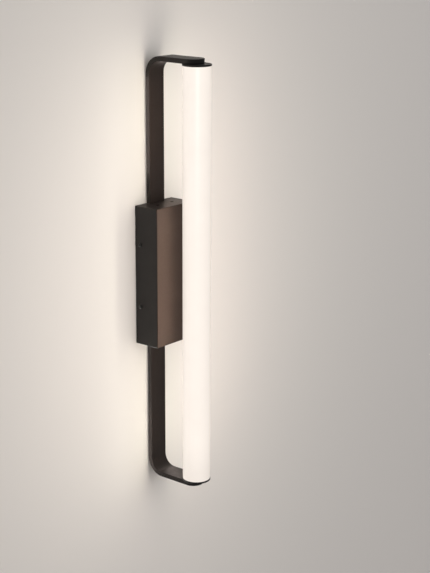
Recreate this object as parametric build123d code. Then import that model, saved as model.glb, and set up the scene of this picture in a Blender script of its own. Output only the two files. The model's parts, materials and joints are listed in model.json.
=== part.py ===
from build123d import *
import os

# Wall lamp: an opal light tube stands between two flat-bar arms, and a canopy on the wall holds the
# arms, the driver and the terminals. Millimetres, +Z up. The origin is on the wall, in the middle of
# the wall plate. The room is towards -Y, so a depth is a distance from the wall towards -Y.

# Overall
LAMP_HEIGHT = 621.0
TUBE_AXIS_DEPTH = 81.6

# Arms: one bent flat bar, used twice
BAR_WIDTH = 30.2
BAR_THICKNESS = 7.0
BAR_WALL_GAP = 0.8
BAR_EDGE_RADIUS = 0.6
BEND_INNER_RADIUS = 18.0
NOSE_SETBACK = 6.0
TAIL_LENGTH = 29.0
ARM_SCREW_EDGE = 4.6
ARM_SCREW_MARGIN = 8.0
ARM_SCREW_PITCH = 13.0
STRIP_THICKNESS = 1.2
STRIP_LEDGE = 1.8
STRIP_CLEARANCE = 0.1
STRIP_INSET = 2.0

# Light tube and end caps
TUBE_DIAMETER = 40.0
TUBE_WALL = 2.0
CAP_LIP = 0.4
CAP_RIM_THICKNESS = 2.6
CAP_EDGE_RADIUS = 0.5
SPIGOT_LENGTH = 12.0
SPIGOT_WALL = 3.0
SPIGOT_CLEARANCE = 0.1
SEAL_RADIUS = 0.7
SEAL_CLEARANCE = 0.05
SOCKET_WALL = 3.0
SOCKET_DEPTH = 5.0
SOCKET_CLEARANCE = 0.1
CAP_BLOCK_LENGTH = 14.0
CAP_SCREW_LENGTH = 9.0
CAP_HEAD_CLEARANCE = 0.4

# Light source
BOARD_WIDTH = 12.0
BOARD_THICKNESS = 1.0
BOARD_CLEARANCE = 0.1
BOARD_INSET = 1.0
CARRIER_LIP = 2.0
CARRIER_THICKNESS = 6.0
CHIP_WIDTH = 2.8
CHIP_LENGTH = 3.5
CHIP_HEIGHT = 0.7
CHIP_PITCH = 12.5
PAD_LENGTH = 22.0
JUMPER_INSET = 8.0
JUMPER_REACH = 5.0

# Canopy
CANOPY_WIDTH = 77.6
CANOPY_HEIGHT = 203.0
CANOPY_FRONT = 41.6
CANOPY_WALL = 2.0
CANOPY_WALL_GAP = 0.5
CANOPY_EDGE_RADIUS = 0.8
NOTCH_CLEARANCE = 0.2

# Wall plate and grommet
PLATE_THICKNESS = 1.5
PLATE_BEND_RADIUS = 0.6
PLATE_CLEARANCE = 0.3
PLATE_TAIL_GAP = 8.5
FLANGE_EDGE = 5.5
FLANGE_CORNER = 4.0
SIDE_SCREW_HEIGHT = 45.5
SIDE_SCREW_DEPTH = 9.5
SIDE_SCREW_LENGTH = 8.0
SLOT_CLEARANCE = 0.3
WALL_SLOT_SPACING = 80.0
WALL_SLOT_WIDTH = 5.2
WALL_SLOT_LENGTH = 12.0
GROMMET_RADIUS = 8.0
GROMMET_LIP = 3.0
GROMMET_LIP_HEIGHT = 2.0
GROMMET_CLEARANCE = 0.05
CABLE_ENTRY_RADIUS = 5.0

# Chassis
SHEET_THICKNESS = 1.5
SHEET_BEND_RADIUS = 1.0
CHASSIS_SIDE_GAP = 2.5
CHASSIS_FRONT_GAP = 3.0
CHASSIS_SCREW_SPREAD = 30.0
CHASSIS_SCREW_DEPTH = 22.0
CHASSIS_SCREW_LENGTH = 8.0

# Driver
DRIVER_LENGTH = 84.0
DRIVER_WIDTH = 40.0
DRIVER_DEPTH = 20.0
DRIVER_WALL = 1.6
DRIVER_LID = 1.6
DRIVER_CORNER = 2.0
DRIVER_TAIL_GAP = 4.0
LID_LIP = 2.0
LID_CLEARANCE = 0.15
EAR_LENGTH = 9.0
EAR_WIDTH = 14.0
EAR_THICKNESS = 2.5
POST_RADIUS = 2.0
POST_HEIGHT = 2.2
POST_INSET = 4.0
DRIVER_BOARD_THICKNESS = 1.6
DRIVER_BOARD_GAP = 0.4
OUTLET_INSET = 10.0

# Driver components, in order from the mains end to the light's end
FUSE_RADIUS = 2.6
FUSE_LENGTH = 12.0
CAPACITOR_RADIUS = 5.0
CAPACITOR_LENGTH = 16.0
TRANSFORMER_WIDTH = 18.0
TRANSFORMER_LENGTH = 17.0
TRANSFORMER_HEIGHT = 12.0
COIL_RADIUS = 5.0
COIL_HEIGHT = 8.0
COMPONENT_GAP = 4.0

# Terminal block and levers
POLE_PITCH = 7.5
POLE_WALL = 1.6
TERMINAL_HEIGHT = 20.0
TERMINAL_DEPTH = 14.0
TERMINAL_DRIVER_GAP = 9.0
TERMINAL_EAR = 7.0
LEVER_CLEARANCE = 0.15
LEVER_THICKNESS = 2.0
LEVER_PROUD = 0.6
LEVER_TIP = 1.5
LEVER_BARREL_RADIUS = 1.9
LEVER_PIN_RADIUS = 0.8
LEVER_PIN_LENGTH = 0.6
LEVER_PIN_CLEARANCE = 0.05
PIVOT_DEPTH = 2.6
PIVOT_DROP = 6.0
PIVOT_SWEEP_CLEARANCE = 0.2
CONDUCTOR_RADIUS = 1.5
CONDUCTOR_DEPTH = 9.0
WIRE_SEAT = 6.0

# Wires and earth lug
WIRE_RADIUS = 0.8
WIRE_CLEARANCE = 0.2
WIRE_SPREAD = 1.2
WIRE_HOLE_RADIUS = 2.4
WIRE_HOLE_MARGIN = 2.1
WIRE_BEND = 3.0
WIRE_TIGHT_BEND = 2.2
WIRE_EASY_BEND = 8.0
WIRE_BOW = 5.0
WIRE_PAD_LENGTH = 7.0
LUG_RADIUS = 4.0
LUG_THICKNESS = 0.8
LUG_BARREL_RADIUS = 1.5
LUG_BARREL_LENGTH = 6.0
LUG_EDGE = 6.5
LUG_DROP = 8.0

# Fasteners
M3_RADIUS = 1.5
M3_HEAD_RADIUS = 2.85
M3_HEAD_HEIGHT = 1.65
M3_SINK_RADIUS = 2.8
M3_NUT_FLATS = 5.5
M3_NUT_HEIGHT = 2.4
M3_SOCKET = 1.1
M4_RADIUS = 2.0
M4_HEAD_RADIUS = 3.6
M4_HEAD_HEIGHT = 2.2
M4_SINK_RADIUS = 3.75
M4_NUT_FLATS = 7.0
M4_NUT_HEIGHT = 3.2
M4_SOCKET = 1.4
M5_RADIUS = 2.5
M5_HEAD_RADIUS = 4.75
M5_HEAD_HEIGHT = 2.75
M5_SOCKET = 1.7
SOCKET_SHARE = 0.6
HOLE_CLEARANCE = 0.25
THREAD_CLEARANCE = 0.05
NUT_CLEARANCE = 0.1
COMPONENT_SCREW_LENGTH = 6.0
SPARE = 5.0

# Places that follow from the sizes above
BAR_HALF = BAR_WIDTH / 2
BAR_FRONT = BAR_WALL_GAP + BAR_THICKNESS
BEND_OUTER_RADIUS = BEND_INNER_RADIUS + BAR_THICKNESS
ARM_TOP = LAMP_HEIGHT / 2
ARM_UNDERSIDE = ARM_TOP - BAR_THICKNESS
BEND_HEIGHT = ARM_TOP - BEND_OUTER_RADIUS
BEND_DEPTH = BAR_WALL_GAP + BEND_OUTER_RADIUS
NOSE_DEPTH = TUBE_AXIS_DEPTH - NOSE_SETBACK
GROOVE_HALF = M5_HEAD_RADIUS + CAP_HEAD_CLEARANCE
GROOVE_BOTTOM = STRIP_THICKNESS + M5_HEAD_HEIGHT + CAP_HEAD_CLEARANCE
STRIP_HALF = GROOVE_HALF + STRIP_LEDGE
WIRE_OFFSET = (STRIP_THICKNESS + GROOVE_BOTTOM) / 2

TUBE_END = ARM_UNDERSIDE - CAP_RIM_THICKNESS
TUBE_RADIUS = TUBE_DIAMETER / 2
TUBE_BORE = TUBE_RADIUS - TUBE_WALL
SPIGOT_RADIUS = TUBE_BORE - SPIGOT_CLEARANCE
SEAL_CENTRE_RADIUS = TUBE_BORE - SEAL_CLEARANCE - SEAL_RADIUS
SEAL_HEIGHT = TUBE_END - SPIGOT_LENGTH / 2
CARRIER_WIDTH = BOARD_WIDTH + 2 * CARRIER_LIP
CAP_BLOCK_BOTTOM = TUBE_END - CAP_BLOCK_LENGTH
CARRIER_END = CAP_BLOCK_BOTTOM + SOCKET_DEPTH - SOCKET_CLEARANCE
BOARD_END = CAP_BLOCK_BOTTOM - BOARD_INSET
WIRE_DROP = CARRIER_THICKNESS / 2 + SOCKET_WALL + WIRE_HOLE_RADIUS + WIRE_HOLE_MARGIN
WIRE_DROP_DEPTH = TUBE_AXIS_DEPTH - WIRE_DROP
BOARD_FACE = CARRIER_THICKNESS / 2

CANOPY_HALF = CANOPY_WIDTH / 2
CANOPY_TOP = CANOPY_HEIGHT / 2
CANOPY_INNER_TOP = CANOPY_TOP - CANOPY_WALL
TAIL_END = CANOPY_INNER_TOP - TAIL_LENGTH
ARM_SCREW_X = BAR_HALF - ARM_SCREW_EDGE
ARM_SCREW_ROWS = (TAIL_END + ARM_SCREW_MARGIN, TAIL_END + ARM_SCREW_MARGIN + ARM_SCREW_PITCH)
PLATE_HALF = CANOPY_HALF - CANOPY_WALL - PLATE_CLEARANCE
PLATE_END = TAIL_END - PLATE_TAIL_GAP
FLANGE_DEPTH = SIDE_SCREW_DEPTH + FLANGE_EDGE
SIDE_NUT_FACE = PLATE_HALF - PLATE_THICKNESS - NUT_CLEARANCE
CHASSIS_HALF = SIDE_NUT_FACE - M3_NUT_HEIGHT - CHASSIS_SIDE_GAP
WEB_FRONT = CANOPY_FRONT - CANOPY_WALL - CHASSIS_FRONT_GAP
WEB_BACK = WEB_FRONT - SHEET_THICKNESS
FLANGE_FRONT = BAR_FRONT + SHEET_THICKNESS

DRIVER_HALF = DRIVER_WIDTH / 2
DRIVER_BACK = WEB_BACK - DRIVER_DEPTH
DRIVER_TOP = TAIL_END - DRIVER_TAIL_GAP - EAR_LENGTH
DRIVER_BOTTOM = DRIVER_TOP - DRIVER_LENGTH
DRIVER_FLOOR = WEB_BACK - DRIVER_WALL
BOARD_SEAT = DRIVER_FLOOR - POST_HEIGHT
BOARD_TOP = BOARD_SEAT - DRIVER_BOARD_THICKNESS
OUTLET_HEIGHT = DRIVER_TOP - OUTLET_INSET

TERMINAL_TOP = DRIVER_BOTTOM - EAR_LENGTH - TERMINAL_DRIVER_GAP
TERMINAL_BOTTOM = TERMINAL_TOP - TERMINAL_HEIGHT
TERMINAL_BACK = WEB_BACK - TERMINAL_DEPTH
TERMINAL_HALF = (3 * POLE_PITCH + POLE_WALL) / 2
TERMINAL_MIDDLE = (TERMINAL_TOP + TERMINAL_BOTTOM) / 2
POLES = {"live": -POLE_PITCH, "neutral": 0.0, "earth": POLE_PITCH}
LEVER_HALF = (POLE_PITCH - POLE_WALL) / 2 - LEVER_CLEARANCE
PIVOT_HEIGHT = TERMINAL_TOP - PIVOT_DROP
PIVOT_PLACE = TERMINAL_BACK + PIVOT_DEPTH
LEVER_BACK = TERMINAL_BACK - LEVER_PROUD
LEVER_FRONT = LEVER_BACK + LEVER_THICKNESS
LEVER_SWEEP = PIVOT_PLACE - LEVER_BACK + PIVOT_SWEEP_CLEARANCE
WIRE_ENTRY = BOARD_TOP - WIRE_RADIUS - WIRE_CLEARANCE
LUG_X = CHASSIS_HALF - LUG_EDGE
LUG_HEIGHT = DRIVER_BOTTOM - LUG_DROP
LUG_BACK = WEB_BACK - LUG_THICKNESS

BASE = (Align.CENTER, Align.CENTER, Align.MIN)
HANG = (Align.CENTER, Align.CENTER, Align.MAX)
UP = (0, 0, 1)
DOWN = (0, 0, -1)
RIGHT = (1, 0, 0)
TO_WALL = (0, 1, 0)
TO_ROOM = (0, -1, 0)


# Shared shapes

def place(x, depth, height):
    """A point, from its distance in front of the wall."""
    return Vector(x, -depth, height)


def block(x0, x1, depth0, depth1, z0, z1):
    """A box between two planes in each direction."""
    middle = place((x0 + x1) / 2, (depth0 + depth1) / 2, (z0 + z1) / 2)
    return Pos(middle) * Box(x1 - x0, depth1 - depth0, z1 - z0)


def rod(start, direction, radius, length):
    """A round bar that starts at a point."""
    return Plane(origin=start, z_dir=direction) * Cylinder(radius, length, align=BASE)


def flipped(piece):
    """The same piece turned end for end, for the lower half of the lamp."""
    return Rot(0, 180, 0) * piece


def wire(points, bends):
    """A round wire of straight runs and tangent arcs."""
    route = FilletPolyline(*points, radius=bends)
    section = Plane(origin=route @ 0, z_dir=route % 0) * Circle(WIRE_RADIUS)
    return sweep(section, route)


def hex_socket(radius, depth):
    """The key recess in a screw head, open at the top of the head."""
    return extrude(RegularPolygon(radius, 6), -depth)


def button_screw(thread, head_radius, head_height, socket, length):
    """A screw with a domed head, seated at the local origin with its head upwards."""
    head = Cylinder(head_radius, head_height, align=BASE)
    head = fillet(head.edges().group_by(Axis.Z)[-1], head_height * SOCKET_SHARE)
    head -= Pos(0, 0, head_height) * hex_socket(socket, head_height * SOCKET_SHARE)
    return head + Cylinder(thread, length, align=HANG)


def sunk_cone(thread, head_radius):
    """The cone under a flush screw head, its wide end at the local origin."""
    return Cone(thread, head_radius, head_radius - thread, align=HANG)


def sunk_screw(thread, head_radius, socket, length):
    """A flush screw with its top at the local origin."""
    screw = sunk_cone(thread, head_radius) + Cylinder(thread, length, align=HANG)
    return screw - hex_socket(socket, (head_radius - thread) * SOCKET_SHARE)


def sunk_hole(thread, head_radius, depth):
    """The hole for a flush screw."""
    hole = Cylinder(thread + HOLE_CLEARANCE, depth, align=HANG)
    return hole + sunk_cone(thread, head_radius)


def nut(thread, flats, height):
    """A hexagon nut that stands on the local origin."""
    outline = RegularPolygon(flats / 2, 6, major_radius=False)
    return extrude(outline - Circle(thread + THREAD_CLEARANCE), height)


# Arms

def bent_layer(near, far, half_width, start, nose_depth):
    """A layer of the bent bar between two distances from its outer face, with a round nose."""
    near_radius = BEND_OUTER_RADIUS - near
    far_radius = BEND_OUTER_RADIUS - far
    end = nose_depth + half_width
    bend = Vector(-BEND_DEPTH, BEND_HEIGHT)
    half_turn = Vector(1, 1).normalized()
    outer_foot = bend + Vector(near_radius, 0)
    outer_head = bend + Vector(0, near_radius)
    inner_foot = bend + Vector(far_radius, 0)
    inner_head = bend + Vector(0, far_radius)
    outer_tip = Vector(-end, outer_head.Y)
    inner_tip = Vector(-end, inner_head.Y)
    outer_start = Vector(outer_foot.X, start)
    inner_start = Vector(inner_foot.X, start)
    outline = Line(outer_start, outer_foot)
    outline += ThreePointArc(outer_foot, bend + half_turn * near_radius, outer_head)
    outline += Polyline(outer_head, outer_tip, inner_tip, inner_head)
    outline += ThreePointArc(inner_head, bend + half_turn * far_radius, inner_foot)
    outline += Polyline(inner_foot, inner_start, outer_start)
    layer = extrude(Plane.YZ * make_face(outline), half_width, both=True)
    run = nose_depth + SPARE
    plan = Pos(0, SPARE - run / 2) * Rectangle(2 * half_width, run)
    plan += Pos(0, -nose_depth) * Circle(half_width)
    return layer & extrude(plan, LAMP_HEIGHT)


def bar_rim(bar):
    """The long edges of a bent bar, round its nose, without its tail."""
    sides = [e for e in bar.edges() if abs(abs(e.center().X) - BAR_HALF) < 0.01]
    tail = bar.edges().group_by(Axis.Z)[0]
    seams = bar.edges().filter_by(Axis.Z).filter_by(lambda e: e.length <= BAR_THICKNESS + 0.01)
    nose = [e for e in bar.edges().filter_by(GeomType.CIRCLE) if abs(e.radius - BAR_HALF) < 0.01]
    return [e for e in sides if e not in tail and e not in seams] + nose


def arm():
    """The upper arm: bar, wire groove, strip seat and holes."""
    bar = bent_layer(0, BAR_THICKNESS, BAR_HALF, TAIL_END, NOSE_DEPTH)
    bar = fillet(bar_rim(bar), BAR_EDGE_RADIUS)
    bar -= bent_layer(-SPARE, GROOVE_BOTTOM, GROOVE_HALF, TAIL_END - SPARE, TUBE_AXIS_DEPTH)
    strip_start = CANOPY_INNER_TOP - STRIP_INSET
    bar -= bent_layer(-SPARE, STRIP_THICKNESS, STRIP_HALF, strip_start, TUBE_AXIS_DEPTH)
    cap_screw_foot = place(0, TUBE_AXIS_DEPTH, ARM_UNDERSIDE - SPARE)
    bar -= rod(cap_screw_foot, UP, M5_RADIUS + HOLE_CLEARANCE, BAR_THICKNESS + SPARE)
    wire_foot = place(0, WIRE_DROP_DEPTH, ARM_UNDERSIDE - SPARE)
    bar -= rod(wire_foot, UP, WIRE_HOLE_RADIUS, BAR_THICKNESS + SPARE)
    for seat in arm_screw_seats():
        bar -= seat * sunk_hole(M4_RADIUS, M4_SINK_RADIUS, BAR_THICKNESS + SPARE)
    return bar


def arm_screw_seats():
    """Where the four screws of the upper arm sit, flush with the back of the bar."""
    return [
        Plane(origin=place(x, BAR_WALL_GAP, z), x_dir=RIGHT, z_dir=TO_WALL)
        for x in (-ARM_SCREW_X, ARM_SCREW_X)
        for z in ARM_SCREW_ROWS
    ]


def groove_strip():
    """The flush strip over the wire groove of the upper arm."""
    start = CANOPY_INNER_TOP - STRIP_INSET + STRIP_CLEARANCE
    return bent_layer(0, STRIP_THICKNESS, STRIP_HALF - STRIP_CLEARANCE, start, TUBE_AXIS_DEPTH)


def arm_fixings():
    """The screws and nuts of the upper arm's tail."""
    length = BAR_THICKNESS + SHEET_THICKNESS + M4_NUT_HEIGHT
    screws = [
        seat * sunk_screw(M4_RADIUS, M4_SINK_RADIUS, M4_SOCKET, length) for seat in arm_screw_seats()
    ]
    nuts = [
        Plane(origin=place(x, FLANGE_FRONT, z), x_dir=RIGHT, z_dir=TO_ROOM)
        * nut(M4_RADIUS, M4_NUT_FLATS, M4_NUT_HEIGHT)
        for x in (-ARM_SCREW_X, ARM_SCREW_X)
        for z in ARM_SCREW_ROWS
    ]
    return screws, nuts


# Light tube

def on_axis(height):
    """A place on the tube's axis."""
    return Pos(place(0, TUBE_AXIS_DEPTH, height))


def end_cap():
    """The upper end cap: rim, spigot, carrier socket and the screw and wire holes."""
    rim = on_axis(TUBE_END) * Cylinder(TUBE_RADIUS + CAP_LIP, CAP_RIM_THICKNESS, align=BASE)
    rim = fillet(rim.edges().filter_by(GeomType.CIRCLE), CAP_EDGE_RADIUS)
    spigot = Cylinder(SPIGOT_RADIUS, SPIGOT_LENGTH, align=HANG)
    spigot -= Cylinder(SPIGOT_RADIUS - SPIGOT_WALL, SPIGOT_LENGTH, align=HANG)
    cap = rim + on_axis(TUBE_END) * spigot
    half_x = CARRIER_WIDTH / 2 + SOCKET_WALL
    half_y = CARRIER_THICKNESS / 2 + SOCKET_WALL
    cap += on_axis(TUBE_END) * Box(2 * half_x, 2 * half_y, CAP_BLOCK_LENGTH, align=HANG)
    socket_x = CARRIER_WIDTH + 2 * SOCKET_CLEARANCE
    socket_y = CARRIER_THICKNESS + 2 * SOCKET_CLEARANCE
    cap -= on_axis(CAP_BLOCK_BOTTOM) * Box(socket_x, socket_y, SOCKET_DEPTH, align=BASE)
    screw_end = ARM_TOP - GROOVE_BOTTOM - CAP_SCREW_LENGTH - HOLE_CLEARANCE
    cap -= on_axis(screw_end) * Cylinder(M5_RADIUS + THREAD_CLEARANCE, BAR_THICKNESS + SPARE, align=BASE)
    wire_top = place(0, WIRE_DROP_DEPTH, ARM_UNDERSIDE)
    cap -= rod(wire_top, DOWN, WIRE_HOLE_RADIUS, CAP_RIM_THICKNESS + SPIGOT_LENGTH)
    seat_width = 2 * (SEAL_RADIUS + SEAL_CLEARANCE)
    seat = Cylinder(TUBE_BORE, seat_width)
    seat -= Cylinder(SEAL_CENTRE_RADIUS - SEAL_RADIUS - SEAL_CLEARANCE, seat_width)
    return cap - on_axis(SEAL_HEIGHT) * seat


def cap_screw():
    """The screw that holds the upper end cap, its head in the wire groove."""
    screw = button_screw(M5_RADIUS, M5_HEAD_RADIUS, M5_HEAD_HEIGHT, M5_SOCKET, CAP_SCREW_LENGTH)
    return on_axis(ARM_TOP - GROOVE_BOTTOM) * screw


def cap_seal():
    """The ring between the upper cap's spigot and the tube."""
    return on_axis(SEAL_HEIGHT) * Torus(SEAL_CENTRE_RADIUS, SEAL_RADIUS)


def diffuser_tube():
    """The opal tube between the two caps."""
    tube = Cylinder(TUBE_RADIUS, 2 * TUBE_END) - Cylinder(TUBE_BORE, 2 * TUBE_END)
    return on_axis(0) * tube


def led_carrier():
    """The bar inside the tube, with a shallow channel for a board on each face."""
    bar = Box(CARRIER_WIDTH, CARRIER_THICKNESS, 2 * CARRIER_END)
    channel = Box(BOARD_WIDTH + 2 * BOARD_CLEARANCE, BOARD_THICKNESS, 2 * CARRIER_END)
    offset = BOARD_FACE - BOARD_THICKNESS / 2
    bar -= Pos(0, offset, 0) * channel
    bar -= Pos(0, -offset, 0) * channel
    return on_axis(0) * bar


def led_board(side):
    """A board in the carrier's channel; side is 1 towards the wall, -1 towards the room."""
    board = Box(BOARD_WIDTH, BOARD_THICKNESS, 2 * BOARD_END)
    return on_axis(0) * Pos(0, side * (BOARD_FACE - BOARD_THICKNESS / 2), 0) * board


def led_chips():
    """The light-emitting packages, evenly spaced on both boards."""
    count = int(2 * (BOARD_END - PAD_LENGTH) / CHIP_PITCH) + 1
    first = -(count - 1) * CHIP_PITCH / 2
    chip = Box(CHIP_WIDTH, CHIP_HEIGHT, CHIP_LENGTH)
    offset = BOARD_FACE + CHIP_HEIGHT / 2
    return [
        on_axis(first + i * CHIP_PITCH) * Pos(0, side * offset, 0) * chip
        for side in (-1, 1)
        for i in range(count)
    ]


def board_jumpers():
    """Two short wires round the carrier's edges that join the boards near their lower end."""
    height = -BOARD_END + JUMPER_INSET
    near = TUBE_AXIS_DEPTH - BOARD_FACE - WIRE_RADIUS
    far = TUBE_AXIS_DEPTH + BOARD_FACE + WIRE_RADIUS
    edge = CARRIER_WIDTH / 2 + WIRE_RADIUS + 2 * WIRE_CLEARANCE
    return [
        wire(
            [
                place(side * (edge - JUMPER_REACH), near, height),
                place(side * edge, near, height),
                place(side * edge, far, height),
                place(side * (edge - JUMPER_REACH), far, height),
            ],
            WIRE_RADIUS + WIRE_CLEARANCE,
        )
        for side in (-1, 1)
    ]


def led_wire(x):
    """One wire from the driver up the groove of the upper arm, over its bend and down to the board."""
    groove_depth = BAR_WALL_GAP + WIRE_OFFSET
    groove_height = ARM_TOP - WIRE_OFFSET
    pad_depth = TUBE_AXIS_DEPTH - BOARD_FACE - WIRE_RADIUS
    leave = CAP_BLOCK_BOTTOM - WIRE_BEND
    arrive = leave - WIRE_PAD_LENGTH
    points = [
        place(x, DRIVER_BACK + DRIVER_LID, OUTLET_HEIGHT),
        place(x, groove_depth, OUTLET_HEIGHT),
        place(x, groove_depth, groove_height),
        place(x, WIRE_DROP_DEPTH, groove_height),
        place(x, WIRE_DROP_DEPTH, leave),
        place(x, pad_depth, arrive),
        place(x, pad_depth, arrive - WIRE_PAD_LENGTH),
    ]
    bends = [WIRE_EASY_BEND, BEND_OUTER_RADIUS - WIRE_OFFSET, WIRE_TIGHT_BEND, WIRE_BEND, WIRE_BEND]
    return wire(points, bends)


# Canopy, wall plate and chassis

def canopy_cover():
    """The box on the wall: five walls, open at the back, notched for the arms."""
    box = block(-CANOPY_HALF, CANOPY_HALF, CANOPY_WALL_GAP, CANOPY_FRONT, -CANOPY_TOP, CANOPY_TOP)
    front, sides = box.edges().group_by(Axis.Y)[:2]
    box = fillet(front + sides, CANOPY_EDGE_RADIUS)
    inner_half = CANOPY_HALF - CANOPY_WALL
    inner_front = CANOPY_FRONT - CANOPY_WALL
    box -= block(-inner_half, inner_half, -SPARE, inner_front, -CANOPY_INNER_TOP, CANOPY_INNER_TOP)
    notch_half = BAR_HALF + NOTCH_CLEARANCE
    notch_front = BAR_FRONT + NOTCH_CLEARANCE
    box -= block(-notch_half, notch_half, -SPARE, notch_front, -CANOPY_HEIGHT, CANOPY_HEIGHT)
    for z in (-SIDE_SCREW_HEIGHT, SIDE_SCREW_HEIGHT):
        start = place(-CANOPY_WIDTH, SIDE_SCREW_DEPTH, z)
        box -= rod(start, RIGHT, M3_RADIUS + HOLE_CLEARANCE, 2 * CANOPY_WIDTH)
    for seat in chassis_screw_seats():
        box -= seat * sunk_hole(M3_RADIUS, M3_SINK_RADIUS, CANOPY_WALL + SPARE)
    return box


def chassis_screw_seats():
    """Where the flush screws sit in the top and bottom of the canopy."""
    half = CHASSIS_SCREW_SPREAD / 2
    return [
        Plane(origin=place(x, CHASSIS_SCREW_DEPTH, side * CANOPY_TOP), x_dir=RIGHT, z_dir=(0, 0, side))
        for side in (1, -1)
        for x in (-half, half)
    ]


def side_screw_seats(offset):
    """Places on the axes of the four side screws, at a distance from the middle, facing outwards."""
    return [
        Plane(origin=place(side * offset, SIDE_SCREW_DEPTH, z), x_dir=TO_WALL, z_dir=(side, 0, 0))
        for side in (-1, 1)
        for z in (-SIDE_SCREW_HEIGHT, SIDE_SCREW_HEIGHT)
    ]


def side_fixings():
    """The side screws in the canopy's walls and the nuts behind the wall plate's flanges."""
    screw = button_screw(M3_RADIUS, M3_HEAD_RADIUS, M3_HEAD_HEIGHT, M3_SOCKET, SIDE_SCREW_LENGTH)
    screws = [seat * screw for seat in side_screw_seats(CANOPY_HALF)]
    seats = side_screw_seats(SIDE_NUT_FACE - M3_NUT_HEIGHT)
    nuts = [seat * nut(M3_RADIUS, M3_NUT_FLATS, M3_NUT_HEIGHT) for seat in seats]
    return screws, nuts


def wall_plate():
    """The folded plate on the wall, its flanges slotted from the front for the side screws."""
    plate = block(-PLATE_HALF, PLATE_HALF, 0, FLANGE_DEPTH, -PLATE_END, PLATE_END)
    outer_bends = plate.edges().filter_by(Axis.Z).group_by(Axis.Y)[-1]
    plate = fillet(outer_bends, PLATE_BEND_RADIUS + PLATE_THICKNESS)
    inner_half = PLATE_HALF - PLATE_THICKNESS
    inside = block(-inner_half, inner_half, PLATE_THICKNESS, FLANGE_DEPTH + SPARE, -PLATE_END, PLATE_END)
    inside = fillet(inside.edges().filter_by(Axis.Z).group_by(Axis.Y)[-1], PLATE_BEND_RADIUS)
    plate -= inside
    plate = fillet(plate.edges().filter_by(Axis.X).group_by(Axis.Y)[0], FLANGE_CORNER)
    slot_half = M3_RADIUS + SLOT_CLEARANCE
    slot_end = FLANGE_DEPTH + SPARE
    for z in (-SIDE_SCREW_HEIGHT, SIDE_SCREW_HEIGHT):
        left = -CANOPY_WIDTH
        plate -= rod(place(left, SIDE_SCREW_DEPTH, z), RIGHT, slot_half, 2 * CANOPY_WIDTH)
        plate -= block(left, CANOPY_WIDTH, SIDE_SCREW_DEPTH, slot_end, z - slot_half, z + slot_half)
    slot = SlotOverall(WALL_SLOT_LENGTH, WALL_SLOT_WIDTH, rotation=90)
    for z in (-WALL_SLOT_SPACING / 2, WALL_SLOT_SPACING / 2):
        outline = Plane(origin=place(0, -SPARE, z), x_dir=RIGHT, z_dir=TO_ROOM) * slot
        plate -= extrude(outline, 2 * SPARE + PLATE_THICKNESS)
    return plate - rod(place(0, -SPARE, 0), TO_ROOM, GROMMET_RADIUS, 2 * SPARE)


def cable_grommet():
    """The bush in the plate's cable hole, flush with the wall."""
    barrel = rod(place(0, 0, 0), TO_ROOM, GROMMET_RADIUS - GROMMET_CLEARANCE, PLATE_THICKNESS)
    lip = rod(place(0, PLATE_THICKNESS, 0), TO_ROOM, GROMMET_RADIUS + GROMMET_LIP, GROMMET_LIP_HEIGHT)
    lip = fillet(lip.edges().group_by(Axis.Y)[0], GROMMET_LIP_HEIGHT / 2)
    bush = barrel + lip
    return bush - rod(place(0, -SPARE, 0), TO_ROOM, CABLE_ENTRY_RADIUS, GROMMET_RADIUS + 2 * SPARE)


def chassis():
    """The folded sheet: a web behind the canopy's front, tabs under its ends and flanges for the arms."""
    frame = block(
        -CHASSIS_HALF, CHASSIS_HALF, BAR_FRONT, WEB_FRONT, -CANOPY_INNER_TOP, CANOPY_INNER_TOP
    )
    frame = fillet(frame.edges().filter_by(Axis.X), SHEET_BEND_RADIUS + SHEET_THICKNESS)
    inner_top = CANOPY_INNER_TOP - SHEET_THICKNESS
    inside = block(-CANOPY_WIDTH, CANOPY_WIDTH, FLANGE_FRONT, WEB_BACK, -inner_top, inner_top)
    frame -= fillet(inside.edges().filter_by(Axis.X), SHEET_BEND_RADIUS)
    frame -= block(-CANOPY_WIDTH, CANOPY_WIDTH, 0, FLANGE_FRONT, -TAIL_END, TAIL_END)
    for x in (-ARM_SCREW_X, ARM_SCREW_X):
        for row in ARM_SCREW_ROWS:
            for z in (-row, row):
                hole = M4_RADIUS + HOLE_CLEARANCE
                frame -= rod(place(x, BAR_FRONT - SPARE, z), TO_ROOM, hole, SHEET_THICKNESS + 2 * SPARE)
    for seat in chassis_screw_seats():
        depth = CANOPY_WALL + SHEET_THICKNESS + SPARE
        frame -= seat * Cylinder(M3_RADIUS + THREAD_CLEARANCE, depth, align=HANG)
    for x, z in component_screw_places():
        start = place(x, WEB_BACK - SPARE, z)
        frame -= rod(start, TO_ROOM, M3_RADIUS + THREAD_CLEARANCE, SHEET_THICKNESS + 2 * SPARE)
    earth = place(LUG_X, WEB_BACK - SPARE, LUG_HEIGHT)
    return frame - rod(earth, TO_ROOM, M4_RADIUS + THREAD_CLEARANCE, SHEET_THICKNESS + 2 * SPARE)


def chassis_screws():
    """The flush screws through the canopy into the chassis."""
    screw = sunk_screw(M3_RADIUS, M3_SINK_RADIUS, M3_SOCKET, CHASSIS_SCREW_LENGTH)
    return [seat * screw for seat in chassis_screw_seats()]


# Driver

def component_screw_places():
    """Screw places on the web: two on the driver's ears, two on the terminal block's."""
    terminal_x = TERMINAL_HALF + TERMINAL_EAR / 2
    return [
        (0, DRIVER_TOP + EAR_LENGTH / 2),
        (0, DRIVER_BOTTOM - EAR_LENGTH / 2),
        (-terminal_x, TERMINAL_MIDDLE),
        (terminal_x, TERMINAL_MIDDLE),
    ]


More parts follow.
